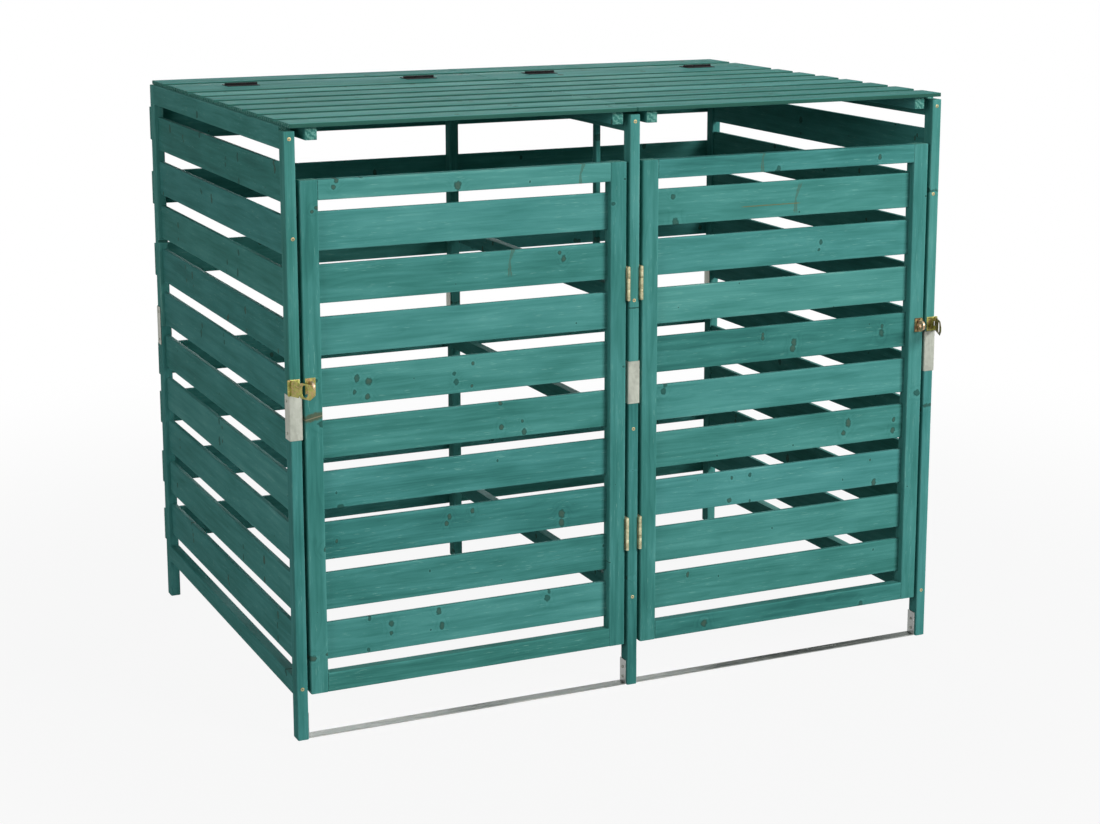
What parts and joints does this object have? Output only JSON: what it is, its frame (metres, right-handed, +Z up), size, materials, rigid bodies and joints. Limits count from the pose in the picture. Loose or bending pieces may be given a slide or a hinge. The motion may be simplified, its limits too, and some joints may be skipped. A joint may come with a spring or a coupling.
{
  "type": "wheelie bin store",
  "caption": "Slatted green stained timber store for wheelie bins, with hinged slatted doors, lift-up boarded lids, hasps with padlock eyes and steel post sleeves.",
  "frame": {"origin": "on the ground at the centre of the bounding box, with the hasp straps swung open", "axes": "+X to the right seen from the front, +Y to the back, +Z up"},
  "size_m": [1.448, 1.0578, 1.199],
  "materials": {
    "stained_pine": "green wood stain, satin",
    "galvanised_steel": "galvanised sheet, matt",
    "brass": "brass plated, satin",
    "yellow_zinc": "yellow zinc plated, satin",
    "black_steel": "black coated steel",
    "yellow_zinc_screws": "yellow zinc plated"
  },
  "bodies": {
    "frame": {"divider_rails": "stained_pine", "divider_strut": "stained_pine", "divider_top_rail": "stained_pine", "door_hinge_pins": "brass", "door_hinge_post_leaves": "brass", "frame_screws": "yellow_zinc_screws", "front_centre_post_lower": "stained_pine", "front_centre_post_upper": "stained_pine", "front_left_post_lower": "stained_pine", "front_left_post_upper": "stained_pine", "front_right_post_lower": "stained_pine", "front_right_post_upper": "stained_pine", "ground_straps": "galvanised_steel", "hasp_leaves": "yellow_zinc", "hasp_pins": "yellow_zinc", "left_back_slats": "stained_pine", "left_side_bottom_rail": "stained_pine", "left_side_slats": "stained_pine", "left_side_top_rail": "stained_pine", "lid_hinge_fixed_leaves": "black_steel", "lid_hinge_pins": "black_steel", "post_sleeves": "galvanised_steel", "rear_centre_post_lower": "stained_pine", "rear_centre_post_upper": "stained_pine", "rear_left_post_lower": "stained_pine", "rear_left_post_upper": "stained_pine", "rear_right_post_lower": "stained_pine", "rear_right_post_upper": "stained_pine", "rear_roof_boards": "stained_pine", "right_back_slats": "stained_pine", "right_side_bottom_rail": "stained_pine", "right_side_slats": "stained_pine", "right_side_top_rail": "stained_pine"},
    "left_door": {"left_door_bottom_rail": "stained_pine", "left_door_hinge_leaves": "brass", "left_door_hinge_stile": "stained_pine", "left_door_latch_stile": "stained_pine", "left_door_screws": "yellow_zinc_screws", "left_door_slats": "stained_pine", "left_door_staple_plate": "yellow_zinc", "left_door_top_rail": "stained_pine"},
    "left_lid": {"left_lid_battens": "stained_pine", "left_lid_boards": "stained_pine", "left_lid_hinge_leaves": "black_steel"},
    "left_hasp_strap": {"left_hasp_strap": "yellow_zinc"},
    "left_staple": {"left_turning_staple": "yellow_zinc"},
    "right_door": {"right_door_bottom_rail": "stained_pine", "right_door_hinge_leaves": "brass", "right_door_hinge_stile": "stained_pine", "right_door_latch_stile": "stained_pine", "right_door_screws": "yellow_zinc_screws", "right_door_slats": "stained_pine", "right_door_staple_plate": "yellow_zinc", "right_door_top_rail": "stained_pine"},
    "right_lid": {"right_lid_battens": "stained_pine", "right_lid_boards": "stained_pine", "right_lid_hinge_leaves": "black_steel"},
    "right_hasp_strap": {"right_hasp_strap": "yellow_zinc"},
    "right_staple": {"right_turning_staple": "yellow_zinc"}
  },
  "joints": [
    {"name": "left_door_swing", "type": "hinge", "parent": "frame", "child": "left_door", "pos_m": [-0.0145, -0.46603, 0.588], "axis": [0, 0, 1], "range_deg": [0, 88]},
    {"name": "left_lid_lift", "type": "hinge", "parent": "frame", "child": "left_lid", "pos_m": [-0.36, 0.32777, 1.196], "axis": [-1, 0, 0], "range_deg": [0, 105]},
    {"name": "left_hasp_swing", "type": "hinge", "parent": "frame", "child": "left_hasp_strap", "pos_m": [-0.721, -0.46553, 0.699], "axis": [0, 0, -1], "range_deg": [-65, 115]},
    {"name": "left_staple_turn", "type": "hinge", "parent": "left_door", "child": "left_staple", "pos_m": [-0.6785, -0.46253, 0.699], "axis": [0, 1, 0], "range_deg": [0, 90]},
    {"name": "right_door_swing", "type": "hinge", "parent": "frame", "child": "right_door", "pos_m": [0.0145, -0.46603, 0.588], "axis": [0, 0, -1], "range_deg": [0, 88]},
    {"name": "right_lid_lift", "type": "hinge", "parent": "frame", "child": "right_lid", "pos_m": [0.36, 0.32777, 1.196], "axis": [-1, 0, 0], "range_deg": [0, 105]},
    {"name": "right_hasp_swing", "type": "hinge", "parent": "frame", "child": "right_hasp_strap", "pos_m": [0.721, -0.46553, 0.699], "axis": [0, 0, 1], "range_deg": [-65, 115]},
    {"name": "right_staple_turn", "type": "hinge", "parent": "right_door", "child": "right_staple", "pos_m": [0.6785, -0.46253, 0.699], "axis": [0, 1, 0], "range_deg": [0, 90]}
  ]
}
